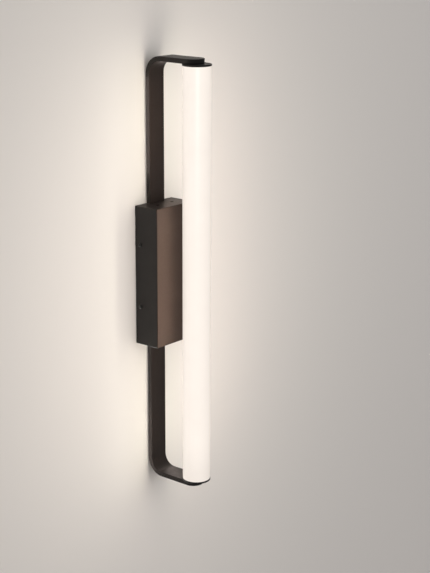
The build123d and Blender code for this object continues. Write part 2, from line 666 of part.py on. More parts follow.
def component_screws():
    """The screws that hold the driver and the terminal block on the web."""
    screw = button_screw(M3_RADIUS, M3_HEAD_RADIUS, M3_HEAD_HEIGHT, M3_SOCKET, COMPONENT_SCREW_LENGTH)
    seat_depth = WEB_BACK - EAR_THICKNESS
    return [
        Plane(origin=place(x, seat_depth, z), x_dir=RIGHT, z_dir=TO_WALL) * screw
        for x, z in component_screw_places()
    ]


def ear_holes():
    """Clearance holes for the component screws."""
    start = WEB_BACK - EAR_THICKNESS - SPARE
    return [
        rod(place(x, start, z), TO_ROOM, M3_RADIUS + HOLE_CLEARANCE, EAR_THICKNESS + 2 * SPARE)
        for x, z in component_screw_places()
    ]


def driver_post_places():
    """The corners of the driver's board, where its posts stand."""
    x = DRIVER_HALF - DRIVER_WALL - POST_INSET
    return [
        (side * x, z)
        for side in (-1, 1)
        for z in (DRIVER_BOTTOM + DRIVER_WALL + POST_INSET, DRIVER_TOP - DRIVER_WALL - POST_INSET)
    ]


def driver_case():
    """The driver's tray with its ears and the posts for its board."""
    rim = DRIVER_BACK + DRIVER_LID
    tray = block(-DRIVER_HALF, DRIVER_HALF, rim, WEB_BACK, DRIVER_BOTTOM, DRIVER_TOP)
    tray = fillet(tray.edges().filter_by(Axis.Y), DRIVER_CORNER)
    inner_half = DRIVER_HALF - DRIVER_WALL
    low = DRIVER_BOTTOM + DRIVER_WALL
    high = DRIVER_TOP - DRIVER_WALL
    tray -= block(-inner_half, inner_half, rim - SPARE, DRIVER_FLOOR, low, high)
    for x, z in driver_post_places():
        tray += rod(place(x, BOARD_SEAT, z), TO_ROOM, POST_RADIUS, POST_HEIGHT)
    ear_back = WEB_BACK - EAR_THICKNESS
    ear_half = EAR_WIDTH / 2
    tray += block(-ear_half, ear_half, ear_back, WEB_BACK, DRIVER_TOP - DRIVER_WALL, DRIVER_TOP + EAR_LENGTH)
    tray += block(-ear_half, ear_half, ear_back, WEB_BACK, DRIVER_BOTTOM - EAR_LENGTH, low)
    tray -= ear_holes()
    for x in (POLES["live"], POLES["neutral"]):
        start = place(x, WIRE_ENTRY, DRIVER_BOTTOM - SPARE)
        tray -= rod(start, UP, WIRE_RADIUS + WIRE_CLEARANCE, DRIVER_WALL + 2 * SPARE)
    return tray


def driver_lid():
    """The driver's lid, with a lip inside the tray and two wire outlets."""
    lid = block(-DRIVER_HALF, DRIVER_HALF, DRIVER_BACK, DRIVER_BACK + DRIVER_LID, DRIVER_BOTTOM, DRIVER_TOP)
    lid = fillet(lid.edges().filter_by(Axis.Y), DRIVER_CORNER)
    inset = DRIVER_WALL + LID_CLEARANCE
    lip_front = DRIVER_BACK + DRIVER_LID + LID_LIP
    lip = block(
        -DRIVER_HALF + inset, DRIVER_HALF - inset, DRIVER_BACK, lip_front,
        DRIVER_BOTTOM + inset, DRIVER_TOP - inset,
    )
    core = inset + DRIVER_WALL
    lip -= block(
        -DRIVER_HALF + core, DRIVER_HALF - core, DRIVER_BACK, lip_front,
        DRIVER_BOTTOM + core, DRIVER_TOP - core,
    )
    lid += lip
    for x in (-WIRE_SPREAD, WIRE_SPREAD):
        start = place(x, DRIVER_BACK - SPARE, OUTLET_HEIGHT)
        lid -= rod(start, TO_ROOM, WIRE_RADIUS + WIRE_CLEARANCE, DRIVER_LID + 2 * SPARE)
    return lid


def driver_board():
    """The driver's circuit board on its posts."""
    half = DRIVER_HALF - DRIVER_WALL - DRIVER_BOARD_GAP
    low = DRIVER_BOTTOM + DRIVER_WALL + DRIVER_BOARD_GAP
    high = DRIVER_TOP - DRIVER_WALL - DRIVER_BOARD_GAP
    return block(-half, half, BOARD_TOP, BOARD_SEAT, low, high)


def driver_components():
    """Fuse, capacitor, transformer and coil, one after another up the board."""
    low = DRIVER_BOTTOM + DRIVER_WALL + DRIVER_BOARD_GAP + COMPONENT_GAP
    fuse_z = low + FUSE_RADIUS
    fuse = rod(place(-FUSE_LENGTH / 2, BOARD_TOP - FUSE_RADIUS, fuse_z), RIGHT, FUSE_RADIUS, FUSE_LENGTH)
    capacitor_z = fuse_z + FUSE_RADIUS + COMPONENT_GAP
    capacitor_place = place(0, BOARD_TOP - CAPACITOR_RADIUS, capacitor_z)
    capacitor = rod(capacitor_place, UP, CAPACITOR_RADIUS, CAPACITOR_LENGTH)
    transformer_z = capacitor_z + CAPACITOR_LENGTH + COMPONENT_GAP
    half = TRANSFORMER_WIDTH / 2
    transformer = block(
        -half, half, BOARD_TOP - TRANSFORMER_HEIGHT, BOARD_TOP,
        transformer_z, transformer_z + TRANSFORMER_LENGTH,
    )
    coil_z = transformer_z + TRANSFORMER_LENGTH + COMPONENT_GAP + COIL_RADIUS
    coil = rod(place(0, BOARD_TOP, coil_z), TO_WALL, COIL_RADIUS, COIL_HEIGHT)
    return [fuse, capacitor, transformer, coil]


# Terminal block and its wires

def terminal_block():
    """Three poles side by side, each with a lever pocket, a mains entry and a wire entry."""
    body = block(
        -TERMINAL_HALF, TERMINAL_HALF, TERMINAL_BACK, WEB_BACK, TERMINAL_BOTTOM, TERMINAL_TOP
    )
    ear_reach = TERMINAL_HALF + TERMINAL_EAR
    ear_half = TERMINAL_EAR / 2
    body += block(
        -ear_reach, ear_reach, WEB_BACK - EAR_THICKNESS, WEB_BACK,
        TERMINAL_MIDDLE - ear_half, TERMINAL_MIDDLE + ear_half,
    )
    body -= ear_holes()
    pocket_half = LEVER_HALF + LEVER_CLEARANCE
    pin_reach = LEVER_HALF + LEVER_PIN_LENGTH + LEVER_CLEARANCE
    for x in POLES.values():
        body -= block(
            x - pocket_half, x + pocket_half, TERMINAL_BACK - SPARE, LEVER_FRONT + LEVER_CLEARANCE,
            TERMINAL_BOTTOM - SPARE, PIVOT_HEIGHT,
        )
        body -= block(
            x - pocket_half, x + pocket_half, TERMINAL_BACK - SPARE, PIVOT_PLACE,
            PIVOT_HEIGHT, PIVOT_HEIGHT + LEVER_SWEEP,
        )
        body -= rod(place(x - pocket_half, PIVOT_PLACE, PIVOT_HEIGHT), RIGHT, LEVER_SWEEP, 2 * pocket_half)
        body -= rod(
            place(x - pin_reach, PIVOT_PLACE, PIVOT_HEIGHT), RIGHT,
            LEVER_PIN_RADIUS + LEVER_PIN_CLEARANCE, 2 * pin_reach,
        )
        body -= rod(place(x, WIRE_ENTRY, TERMINAL_BOTTOM), UP, CONDUCTOR_RADIUS, CONDUCTOR_DEPTH)
        body -= rod(place(x, WIRE_ENTRY, TERMINAL_TOP), DOWN, WIRE_RADIUS + WIRE_CLEARANCE, WIRE_SEAT)
    return body


def terminal_lever(x):
    """A lever closed flat on the block, with its barrel and two pivot pins."""
    pin_reach = LEVER_HALF + LEVER_PIN_LENGTH
    pivot = PIVOT_PLACE
    lever = block(
        x - LEVER_HALF, x + LEVER_HALF, LEVER_BACK, LEVER_FRONT, TERMINAL_BOTTOM - LEVER_TIP, PIVOT_HEIGHT
    )
    lever += rod(place(x - LEVER_HALF, pivot, PIVOT_HEIGHT), RIGHT, LEVER_BARREL_RADIUS, 2 * LEVER_HALF)
    return lever + rod(place(x - pin_reach, pivot, PIVOT_HEIGHT), RIGHT, LEVER_PIN_RADIUS, 2 * pin_reach)


def supply_wire(x):
    """A wire from a terminal to the driver, bowed towards the wall."""
    middle = (TERMINAL_TOP + DRIVER_BOTTOM) / 2
    points = [
        place(x, WIRE_ENTRY, TERMINAL_TOP - WIRE_SEAT),
        place(x, WIRE_ENTRY, TERMINAL_TOP + WIRE_CLEARANCE),
        place(x, WIRE_ENTRY - WIRE_BOW, middle),
        place(x, WIRE_ENTRY, DRIVER_BOTTOM - WIRE_CLEARANCE),
        place(x, WIRE_ENTRY, DRIVER_BOTTOM + DRIVER_WALL + COMPONENT_GAP / 2),
    ]
    return wire(points, WIRE_BEND)


def earth_wire():
    """The wire from the earth terminal into the lug's barrel."""
    x = POLES["earth"]
    barrel_depth = LUG_BACK - LUG_BARREL_RADIUS + LUG_THICKNESS
    barrel_end = LUG_X - LUG_RADIUS - LUG_BARREL_LENGTH
    points = [
        place(x, WIRE_ENTRY, TERMINAL_TOP - WIRE_SEAT),
        place(x, WIRE_ENTRY, (TERMINAL_TOP + LUG_HEIGHT) / 2),
        place((x + barrel_end) / 2, barrel_depth, LUG_HEIGHT),
        place(LUG_X - LUG_RADIUS, barrel_depth, LUG_HEIGHT),
    ]
    return wire(points, WIRE_BEND)


def earth_lug():
    """A ring terminal flat on the web, its barrel towards the middle."""
    screw_place = place(LUG_X, LUG_BACK, LUG_HEIGHT)
    ring = rod(screw_place, TO_ROOM, LUG_RADIUS, LUG_THICKNESS)
    barrel_depth = LUG_BACK - LUG_BARREL_RADIUS + LUG_THICKNESS
    reach = LUG_RADIUS + LUG_BARREL_LENGTH
    start = place(LUG_X - reach, barrel_depth, LUG_HEIGHT)
    low = LUG_HEIGHT - LUG_BARREL_RADIUS
    high = LUG_HEIGHT + LUG_BARREL_RADIUS
    lug = ring + block(LUG_X - reach, LUG_X - LUG_RADIUS / 2, LUG_BACK, WEB_BACK, low, high)
    lug += rod(start, RIGHT, LUG_BARREL_RADIUS, LUG_BARREL_LENGTH)
    lug -= rod(start, RIGHT, WIRE_RADIUS + THREAD_CLEARANCE, LUG_BARREL_LENGTH)
    return lug - rod(screw_place, TO_ROOM, M4_RADIUS + HOLE_CLEARANCE, LUG_THICKNESS)


def earth_screw():
    """The screw that holds the lug on the web."""
    screw = button_screw(M4_RADIUS, M4_HEAD_RADIUS, M4_HEAD_HEIGHT, M4_SOCKET, SHEET_THICKNESS + LUG_THICKNESS)
    return Plane(origin=place(LUG_X, LUG_BACK, LUG_HEIGHT), x_dir=RIGHT, z_dir=TO_WALL) * screw


# Assembly

upper_arm = arm()
upper_strip = groove_strip()
upper_cap = end_cap()
upper_seal = cap_seal()
upper_cap_screw = cap_screw()
upper_screws, upper_nuts = arm_fixings()
side_screws, side_nuts = side_fixings()

pieces = {
    "wall_plate": wall_plate(),
    "cable_grommet": cable_grommet(),
    "canopy_cover": canopy_cover(),
    "chassis": chassis(),
    "upper_arm": upper_arm,
    "lower_arm": flipped(upper_arm),
    "upper_groove_strip": upper_strip,
    "lower_groove_strip": flipped(upper_strip),
    "upper_end_cap": upper_cap,
    "lower_end_cap": flipped(upper_cap),
    "upper_cap_seal": upper_seal,
    "lower_cap_seal": flipped(upper_seal),
    "diffuser_tube": diffuser_tube(),
    "led_carrier": led_carrier(),
    "led_board_front": led_board(-1),
    "led_board_rear": led_board(1),
    "led_wire_positive": led_wire(WIRE_SPREAD),
    "led_wire_negative": led_wire(-WIRE_SPREAD),
    "driver_case": driver_case(),
    "driver_lid": driver_lid(),
    "driver_board": driver_board(),
    "terminal_block": terminal_block(),
    "live_wire": supply_wire(POLES["live"]),
    "neutral_wire": supply_wire(POLES["neutral"]),
    "earth_wire": earth_wire(),
    "earth_lug": earth_lug(),
    "earth_screw": earth_screw(),
}
for pole, pole_x in POLES.items():
    pieces[f"terminal_lever_{pole}"] = terminal_lever(pole_x)

groups = {
    "side_screws": side_screws,
    "side_nuts": side_nuts,
    "chassis_screws": chassis_screws(),
    "arm_screws": upper_screws + [flipped(s) for s in upper_screws],
    "arm_nuts": upper_nuts + [flipped(n) for n in upper_nuts],
    "cap_screws": [upper_cap_screw, flipped(upper_cap_screw)],
    "led_chips": led_chips(),
    "board_jumpers": board_jumpers(),
    "driver_components": driver_components(),
    "component_screws": component_screws(),
}
for group, members in groups.items():
    pieces[group] = Compound([solid for member in members for solid in member.solids()])

os.makedirs("parts", exist_ok=True)
for node, piece in pieces.items():
    export_step(piece, f"parts/{node}.step")
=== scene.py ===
import json
import math

import bmesh
import bpy
from mathutils import Matrix, Vector


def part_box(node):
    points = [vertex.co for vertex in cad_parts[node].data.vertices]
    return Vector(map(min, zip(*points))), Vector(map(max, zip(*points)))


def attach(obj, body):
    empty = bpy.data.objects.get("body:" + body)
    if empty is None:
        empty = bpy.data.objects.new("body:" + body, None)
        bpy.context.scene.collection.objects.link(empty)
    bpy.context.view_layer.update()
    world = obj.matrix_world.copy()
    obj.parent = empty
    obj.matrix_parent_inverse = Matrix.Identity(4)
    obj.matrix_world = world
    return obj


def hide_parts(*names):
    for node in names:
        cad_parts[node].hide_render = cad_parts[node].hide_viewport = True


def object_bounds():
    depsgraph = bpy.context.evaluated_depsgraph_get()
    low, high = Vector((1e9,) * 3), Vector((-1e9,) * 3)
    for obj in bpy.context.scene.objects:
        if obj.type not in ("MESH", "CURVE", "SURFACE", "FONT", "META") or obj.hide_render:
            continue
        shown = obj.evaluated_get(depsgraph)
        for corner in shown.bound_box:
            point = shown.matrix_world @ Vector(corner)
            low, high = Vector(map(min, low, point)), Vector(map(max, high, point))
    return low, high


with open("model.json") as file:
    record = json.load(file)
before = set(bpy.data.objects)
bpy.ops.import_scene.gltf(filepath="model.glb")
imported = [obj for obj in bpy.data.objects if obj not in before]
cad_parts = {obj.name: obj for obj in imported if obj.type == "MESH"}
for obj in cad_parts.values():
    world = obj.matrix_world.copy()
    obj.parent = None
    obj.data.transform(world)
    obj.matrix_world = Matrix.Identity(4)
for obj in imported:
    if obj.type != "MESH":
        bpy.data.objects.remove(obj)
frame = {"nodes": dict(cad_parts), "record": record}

# Wall lamp: finishes, fine pieces, room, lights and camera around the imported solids. Metres, +Z up,
# the wall at Y = 0 and the room towards -Y.

cad_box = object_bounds()
scene = bpy.context.scene
nodes = frame["nodes"]

UPRIGHT = Vector((0, 0, 1))
ROOMWARD = Vector((0, -1, 0))

# Camera, from a fit to the photograph
CAMERA_PLACE = Vector((-1.4774, -1.3414, 0.5294))
CAMERA_YAW = math.radians(50.31)
CAMERA_PITCH = math.radians(15.53)
CAMERA_ROLL = math.radians(0.28)
CAMERA_LENS = 89.45
CAMERA_SENSOR = 36.0

# Room
WALL_GAP = 0.0004
WALL_REACH = 4.0
WALL_COLOUR = (0.80, 0.755, 0.72)
FLOOR_DROP = 1.0
FLOOR_REACH = 1.2
FLOOR_COLOUR = (0.78, 0.76, 0.74)
ROOM_COLOUR = (1.0, 1.0, 1.0)
ROOM_BRIGHT = 0.40
ROOM_DIM = 0.24
ROOM_BRIGHT_SIDE = (-0.45, -0.35, 0.82)
ROOM_TURN = 0.7

# Lamps: the tube's glow on the lamp, its halo on the wall and the lit wall beside the bars are runs of
# (lower end, upper end, watts to the metre). The sheen is what the lit wall throws on the canopy's top.
GLOW_COLOUR = (1.0, 0.64, 0.47)
GLOW_RUNS = (
    (-0.300, -0.200, 1.02),
    (-0.200, -0.130, 0.86),
    (-0.130, 0.100, 1.92),
    (0.100, 0.160, 1.00),
    (0.160, 0.270, 1.95),
    (0.270, 0.300, 1.20),
)
HALO_COLOUR = (1.0, 1.0, 0.84)
HALO_RUNS = ((-0.300, -0.210, 0.92), (-0.210, 0.210, 0.52), (0.210, 0.300, 0.86))
HALO_CORE = 0.004
GLOW_PANELS = 6
GLOW_GAP = 0.0004
BOUNCE_COLOUR = (1.0, 0.82, 0.78)
BOUNCE_RUNS = ((-0.315, -0.205, 0.155), (-0.205, -0.115, 0.070), (0.142, 0.280, 0.225))
BOUNCE_WIDTH = 0.035
BOUNCE_GAP = 0.001
BOUNCE_LIFT = 0.0002
SHEEN_COLOUR = (1.0, 0.56, 0.38)
SHEEN_POWER = 0.0019
SHEEN_SIZE = (0.044, 0.026)
SHEEN_RISE = 0.009

# Lamps that light the wall alone
KEY = dict(
    place=(0.8, -3.2, 0.6), way=(-0.8, 3.2, -0.6), size=(2.2, 2.2), power=23.9, colour=(0.97, 0.98, 1.0),
)
WASH = dict(place=(-0.048, -0.62, 0.02), size=(0.14, 0.55), power=0.54, colour=(1.0, 0.98, 0.85))
NEAR_WASH = dict(place=(-0.06, -0.30, 0.0), size=(0.06, 0.60), power=0.312, colour=(1.0, 0.85, 0.82))
TUBE_SIDE_WASH = dict(place=(0.13, -0.13, 0.0), size=(0.03, 0.60), power=0.058, colour=(1.0, 0.74, 0.65))
WALL_LAMPS = {
    "key": KEY,
    "wash": WASH,
    "fill": dict(WASH, shadow=False),
    "near_wash": NEAR_WASH,
    "tube_side_wash": TUBE_SIDE_WASH,
}

# Suns: one on the front of the tube, one on the bars from behind, one on the rest of the back
FRONT_STRENGTH = 2.7
FRONT_COLOUR = (1.0, 0.96, 0.92)
FRONT_WAY = Vector((0.69, 0.72, -0.15))
BACK_COLOUR = (1.0, 1.0, 1.0)
BACK_STRENGTH = 2.0
BACK_WAY = Vector((0.0, -0.70, 0.71))
BARS_BACK_STRENGTH = 0.8
BARS_BACK_WAY = Vector((-0.62, -0.76, 0.20))
SUN_ANGLE = math.radians(20)

# Fasteners: radii of head and thread, rise of a domed head (none on a flush one), half width of the key.
# A nut has its width across the flats, its height and the radius of its bore.
SIDE_SCREW = dict(head=0.00285, rise=0.00165, thread=0.0015, pitch=0.0005, key=0.00095, length=0.008)
CHASSIS_SCREW = dict(head=0.0028, rise=0.0, thread=0.0015, pitch=0.0005, key=0.00095, length=0.008)
COMPONENT_SCREW = dict(SIDE_SCREW, length=0.006)
EARTH_SCREW = dict(head=0.0036, rise=0.0022, thread=0.002, pitch=0.0007, key=0.00125, length=0.0023)
CAP_SCREW = dict(head=0.00475, rise=0.00275, thread=0.0025, pitch=0.0008, key=0.0015, length=0.009)
ARM_SCREW = dict(head=0.00375, rise=0.0, thread=0.002, pitch=0.0007, key=0.00125, length=0.0117)
SIDE_NUT = dict(flats=0.0055, height=0.0024, bore=0.00155)
ARM_NUT = dict(flats=0.007, height=0.0032, bore=0.00205)
ARM_SCREW_PITCH = 0.013
DRIVER_SCREW_LOW = -0.031
TURNED_SEGMENTS = 36
SHARP_FASTENER_EDGE = math.radians(35)
MERGE_REACH = 1e-7
EDGE_ROUND = 0.00015

# Shares of a fastener's own sizes
THREAD_DEPTH = 0.15
TIP_RADIUS = 0.7
DOME_STEPS = 5
DOME_CROWN = 0.55
DOME_SIDE = 0.3
KEY_DEPTH = 0.6
KEY_MOUTH = 1.08
NUT_CHAMFER = 0.14
NUT_FACE = 0.98
NUT_MOUTH = 1.12

# Light source: packages on the carrier, and the tube around them
CHIP_PITCH = 0.0125
CHIP_SIZE = (0.0028, 0.0007, 0.0035)
CHIP_BODY_SHARE = 0.9
CHIP_WINDOW = 0.78
CHIP_WINDOW_DEPTH = 0.0002
TUBE_WALL = 0.002
TUBE_RIM_ROUND = 0.0004
TUBE_RIM_STEPS = 4
TUBE_SIDES = 128
TUBE_SHARP_EDGE = math.radians(15)
TUBE_GLOW = 0.68
TUBE_DIM_GLOW = 0.58
TUBE_DIM_END = (-0.304, -0.235)


# Finishes

class Finish:
    """A material under construction: its node tree, its shader and the piece's own coordinates."""

    def __init__(self, name, **sockets):
        self.material = bpy.data.materials.new(name)
        self.material.use_nodes = True
        self.tree = self.material.node_tree
        self.shader = self.tree.nodes["Principled BSDF"]
        self.place = self.node("ShaderNodeTexCoord").outputs["Object"]
        for socket, value in sockets.items():
            self.shader.inputs[socket.replace("_", " ")].default_value = value

    def node(self, kind, **settings):
        made = self.tree.nodes.new(kind)
        for key, value in settings.items():
            setattr(made, key, value)
        return made

    def join(self, source, target):
        self.tree.links.new(source, target)

    def stretched(self, scale):
        """The piece's coordinates, scaled differently along each axis."""
        mapping = self.node("ShaderNodeMapping")
        mapping.inputs["Scale"].default_value = scale
        self.join(self.place, mapping.inputs["Vector"])
        return mapping.outputs["Vector"]

    def noise(self, scale, detail=3.0, place=None):
        """Soft blotches, scale of them to the metre."""
        noise = self.node("ShaderNodeTexNoise")
        noise.inputs["Scale"].default_value = scale
        noise.inputs["Detail"].default_value = detail
        self.join(place or self.place, noise.inputs["Vector"])
        return noise.outputs["Fac"]

    def cells(self, scale, place=None):
        """A random value for each of scale cells to the metre."""
        cells = self.node("ShaderNodeTexVoronoi")
        cells.inputs["Scale"].default_value = scale
        self.join(place or self.place, cells.inputs["Vector"])
        return cells.outputs["Color"]

    def between(self, pattern, low, high, start=0.3, end=0.7):
        """A number that follows a pattern."""
        ranged = self.node("ShaderNodeMapRange")
        for socket, value in (("From Min", start), ("From Max", end), ("To Min", low), ("To Max", high)):
            ranged.inputs[socket].default_value = value
        self.join(pattern, ranged.inputs["Value"])
        return ranged.outputs["Result"]

    def colour(self, pattern, dark, light, start=0.3, end=0.7):
        """Base colour that follows a pattern."""
        ramp = self.node("ShaderNodeValToRGB")
        ramp.color_ramp.elements[0].position = start
        ramp.color_ramp.elements[1].position = end
        ramp.color_ramp.elements[0].color = (*dark, 1.0)
        ramp.color_ramp.elements[1].color = (*light, 1.0)
        self.join(pattern, ramp.inputs["Fac"])
        self.join(ramp.outputs["Color"], self.shader.inputs["Base Color"])

    def roughness(self, pattern, low, high):
        self.join(self.between(pattern, low, high), self.shader.inputs["Roughness"])

    def relief(self, pattern, depth):
        """Fine relief of a depth in metres."""
        bump = self.node("ShaderNodeBump")
        bump.inputs["Distance"].default_value = depth
        self.join(pattern, bump.inputs["Height"])
        self.join(bump.outputs["Normal"], self.shader.inputs["Normal"])


def shade(colour, factor):
    return tuple(channel * factor for channel in colour)


def bronze_coat():
    """Satin dark bronze powder coat: faint clouds, fine peel."""
    finish = Finish("bronze_coat", Specular_IOR_Level=0.3, Specular_Tint=(1.0, 0.96, 0.92, 1.0))
    clouds = finish.noise(55.0)
    finish.colour(clouds, (0.0125, 0.0109, 0.0102), (0.0150, 0.0133, 0.0126))
    finish.roughness(finish.noise(240.0), 0.42, 0.50)
    finish.relief(finish.noise(2600.0, 1.0), 0.00003)
    return finish.material


def dark_screw(name, dark, light, low, high, gloss):
    """Blackened screw steel, a little uneven."""
    finish = Finish(name, Specular_IOR_Level=gloss)
    finish.colour(finish.noise(900.0), dark, light)
    finish.roughness(finish.noise(1400.0), low, high)
    return finish.material


def opal_acrylic():
    """Opal diffuser, lit from inside, a little dimmer at its lower end, under a satin skin."""
    finish = Finish(
        "opal_acrylic",
        Specular_IOR_Level=0.0,
        Emission_Color=(1.0, 0.89, 0.80, 1.0),
        Coat_Weight=0.3,
        Coat_Roughness=0.35,
    )
    finish.colour(finish.noise(40.0), (0.272, 0.267, 0.257), (0.288, 0.283, 0.273))
    finish.relief(finish.noise(1800.0, 1.0), 0.00001)
    split = finish.node("ShaderNodeSeparateXYZ")
    finish.join(finish.place, split.inputs["Vector"])
    glow = finish.between(split.outputs["Z"], TUBE_DIM_GLOW, TUBE_GLOW, *TUBE_DIM_END)
    glow.node.interpolation_type = "SMOOTHSTEP"
    finish.join(glow, finish.shader.inputs["Emission Strength"])
    return finish.material


def zinc_sheet():
    """Zinc plated sheet: faint spangle and drawn lines."""
    finish = Finish("zinc_sheet", Metallic=1.0)
    finish.colour(finish.cells(260.0), (0.50, 0.51, 0.53), (0.60, 0.61, 0.62), 0.1, 0.9)
    drawn = finish.noise(60.0, 4.0, finish.stretched((40.0, 1.0, 1.0)))
    finish.roughness(drawn, 0.30, 0.46)
    finish.relief(drawn, 0.00002)
    return finish.material


def zinc_fastener():
    """Bright zinc on small screws and nuts."""
    finish = Finish("zinc_fastener", Metallic=1.0)
    finish.colour(finish.noise(700.0), (0.55, 0.55, 0.55), (0.68, 0.68, 0.67))
    finish.roughness(finish.noise(1500.0), 0.22, 0.36)
    return finish.material


def tinned_copper():
    """Tinned ring terminal, copper showing through a little."""
    finish = Finish("tinned_copper", Metallic=1.0)
    finish.colour(finish.noise(800.0), (0.62, 0.52, 0.45), (0.72, 0.69, 0.66))
    finish.roughness(finish.noise(1500.0), 0.25, 0.40)
    return finish.material


def carrier_metal():
    """Drawn aluminium, lines along its length."""
    finish = Finish("carrier_metal", Metallic=1.0)
    drawn = finish.noise(30.0, 4.0, finish.stretched((40.0, 40.0, 1.0)))
    finish.colour(drawn, (0.70, 0.70, 0.71), (0.80, 0.80, 0.81))
    finish.roughness(drawn, 0.28, 0.42)
    return finish.material


def moulded(name, colour, low, high, depth=0.00002):
    """Moulded plastic or rubber with a fine eroded grain."""
    finish = Finish(name)
    finish.colour(finish.noise(140.0), shade(colour, 0.92), shade(colour, 1.06))
    grain = finish.noise(3200.0, 1.0)
    finish.roughness(grain, low, high)
    finish.relief(grain, depth)
    return finish.material


def insulation(name, colour):
    """Extruded wire insulation, a little glossy."""
    finish = Finish(name, Coat_Weight=0.15)
    finish.colour(finish.noise(400.0), shade(colour, 0.85), shade(colour, 1.10))
    finish.roughness(finish.noise(1800.0), 0.32, 0.45)
    return finish.material


def earth_insulation():
    """Green insulation with a yellow stripe."""
    finish = Finish("wire_green", Coat_Weight=0.15, Roughness=0.38)
    bands = finish.node("ShaderNodeTexWave", bands_direction="DIAGONAL")
    bands.inputs["Scale"].default_value = 55.0
    finish.join(finish.place, bands.inputs["Vector"])
    finish.colour(bands.outputs["Fac"], (0.05, 0.30, 0.04), (0.75, 0.62, 0.03), 0.45, 0.55)
    return finish.material


def circuit_board(name, dark, light):
    """Solder mask over copper tracks."""
    finish = Finish(name, Coat_Weight=0.3, Roughness=0.4)
    tracks = finish.cells(320.0, finish.stretched((1.0, 1.0, 0.35)))
    finish.colour(tracks, dark, light, 0.45, 0.55)
    return finish.material


def chip_window():
    """Phosphor under clear resin."""
    finish = Finish("chip_phosphor", Coat_Weight=0.6, Roughness=0.3)
    finish.colour(finish.noise(2500.0), (0.86, 0.58, 0.10), (0.95, 0.72, 0.20))
    return finish.material


FINISHES = {
    "bronze_coat": bronze_coat(),
    "dark_screws": dark_screw("dark_screw", (0.020, 0.019, 0.018), (0.034, 0.032, 0.031), 0.38, 0.50, 0.4),
    "zinc_sheet": zinc_sheet(),
    "zinc_fastener": zinc_fastener(),
    "tinned_copper": tinned_copper(),
    "silicone": moulded("silicone", (0.05, 0.05, 0.05), 0.45, 0.65),
    "opal_acrylic": opal_acrylic(),
    "carrier_metal": carrier_metal(),
    "board_white": circuit_board("board_white", (0.84, 0.84, 0.82), (0.90, 0.90, 0.88)),
    "chip_phosphor": chip_window(),
    "wire_red": insulation("wire_red", (0.50, 0.02, 0.02)),
    "wire_black": insulation("wire_black", (0.02, 0.02, 0.02)),
    "wire_white": insulation("wire_white", (0.80, 0.80, 0.78)),
    "wire_brown": insulation("wire_brown", (0.16, 0.06, 0.02)),
    "wire_blue": insulation("wire_blue", (0.03, 0.10, 0.45)),
    "wire_green": earth_insulation(),
    "driver_shell": moulded("driver_shell", (0.78, 0.78, 0.76), 0.40, 0.55),
    "board_green": circuit_board("board_green", (0.02, 0.16, 0.07), (0.05, 0.26, 0.12)),
    "component_dark": moulded("component_dark", (0.045, 0.045, 0.05), 0.28, 0.40),
    "terminal_grey": moulded("terminal_grey", (0.42, 0.43, 0.44), 0.35, 0.50),
    "lever_orange": moulded("lever_orange", (0.72, 0.20, 0.03), 0.30, 0.42),
}
SUNK_SCREW = dark_screw("sunk_screw", (0.006, 0.005, 0.005), (0.012, 0.010, 0.010), 0.70, 0.85, 0.1)
CHIP_BODY = moulded("chip_body", (0.85, 0.85, 0.83), 0.35, 0.50)


def finish_solids():
    """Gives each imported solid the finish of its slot."""
    for subpart in frame["record"]["subparts"]:
        for slot in nodes[subpart["node"]].material_slots:
            slot.material = FINISHES[subpart["material_slot"]]


# Geometry Nodes

class Tree:
    """A Geometry Nodes tree under construction, with named inputs and one geometry output."""

    def __init__(self, name, **inputs):
        self.group = bpy.data.node_groups.new(name, "GeometryNodeTree")
        self.entry = self.group.nodes.new("NodeGroupInput")
        self.leave = self.group.nodes.new("NodeGroupOutput")
        for label, kind in inputs.items():
            label = label.replace("_", " ")
            self.group.interface.new_socket(label, in_out="INPUT", socket_type="NodeSocket" + kind)
        self.group.interface.new_socket("Geometry", in_out="OUTPUT", socket_type="NodeSocketGeometry")

    def given(self, label):
        return self.entry.outputs[label]

    def node(self, kind, links=None, **settings):
        """A node with its settings, and links from sockets or plain values to its inputs."""
        made = self.group.nodes.new(kind)
        for key, value in settings.items():
            setattr(made, key, value)
        for socket, source in (links or {}).items():
            if isinstance(source, bpy.types.NodeSocket):
                self.group.links.new(source, made.inputs[socket])
            else:
                made.inputs[socket].default_value = source
        return made

    def joined(self, *parts):
        """The parts as one geometry, in their order."""
        join = self.node("GeometryNodeJoinGeometry")
        for part in reversed(parts):
            self.group.links.new(part, join.inputs["Geometry"])
        return join.outputs["Geometry"]

    def end(self, geometry, finish, marked_finish=None):
        """Realizes the geometry and sets its finish, and another on faces that are marked."""
        last = self.node("GeometryNodeRealizeInstances", {"Geometry": geometry})
        last = self.node("GeometryNodeSetMaterial", {
            "Geometry": last.outputs["Geometry"], "Material": finish,
        })
        if marked_finish:
            marked = self.node("GeometryNodeInputNamedAttribute", {"Name": "marked"}, data_type="BOOLEAN")
            last = self.node("GeometryNodeSetMaterial", {
                "Geometry": last.outputs["Geometry"],
                "Selection": marked.outputs["Attribute"],
                "Material": marked_finish,
            })
        self.group.links.new(last.outputs["Geometry"], self.leave.inputs["Geometry"])
        return self.group


def grown(name, tree, values, start=None):
    """The plain mesh that a tree makes from its inputs, as a new object."""
    piece = bpy.data.objects.new(name, start or bpy.data.meshes.new(name))
    scene.collection.objects.link(piece)
    modifier = piece.modifiers.new(tree.name, "NODES")
    modifier.node_group = tree
    for item in tree.interface.items_tree:
        if item.in_out == "INPUT" and item.name in values:
            modifier[item.identifier] = values[item.name]
    graph = bpy.context.evaluated_depsgraph_get()
    mesh = bpy.data.meshes.new_from_object(piece.evaluated_get(graph))
    piece.modifiers.remove(modifier)
    piece.data = mesh
    mesh.name = name
    return piece


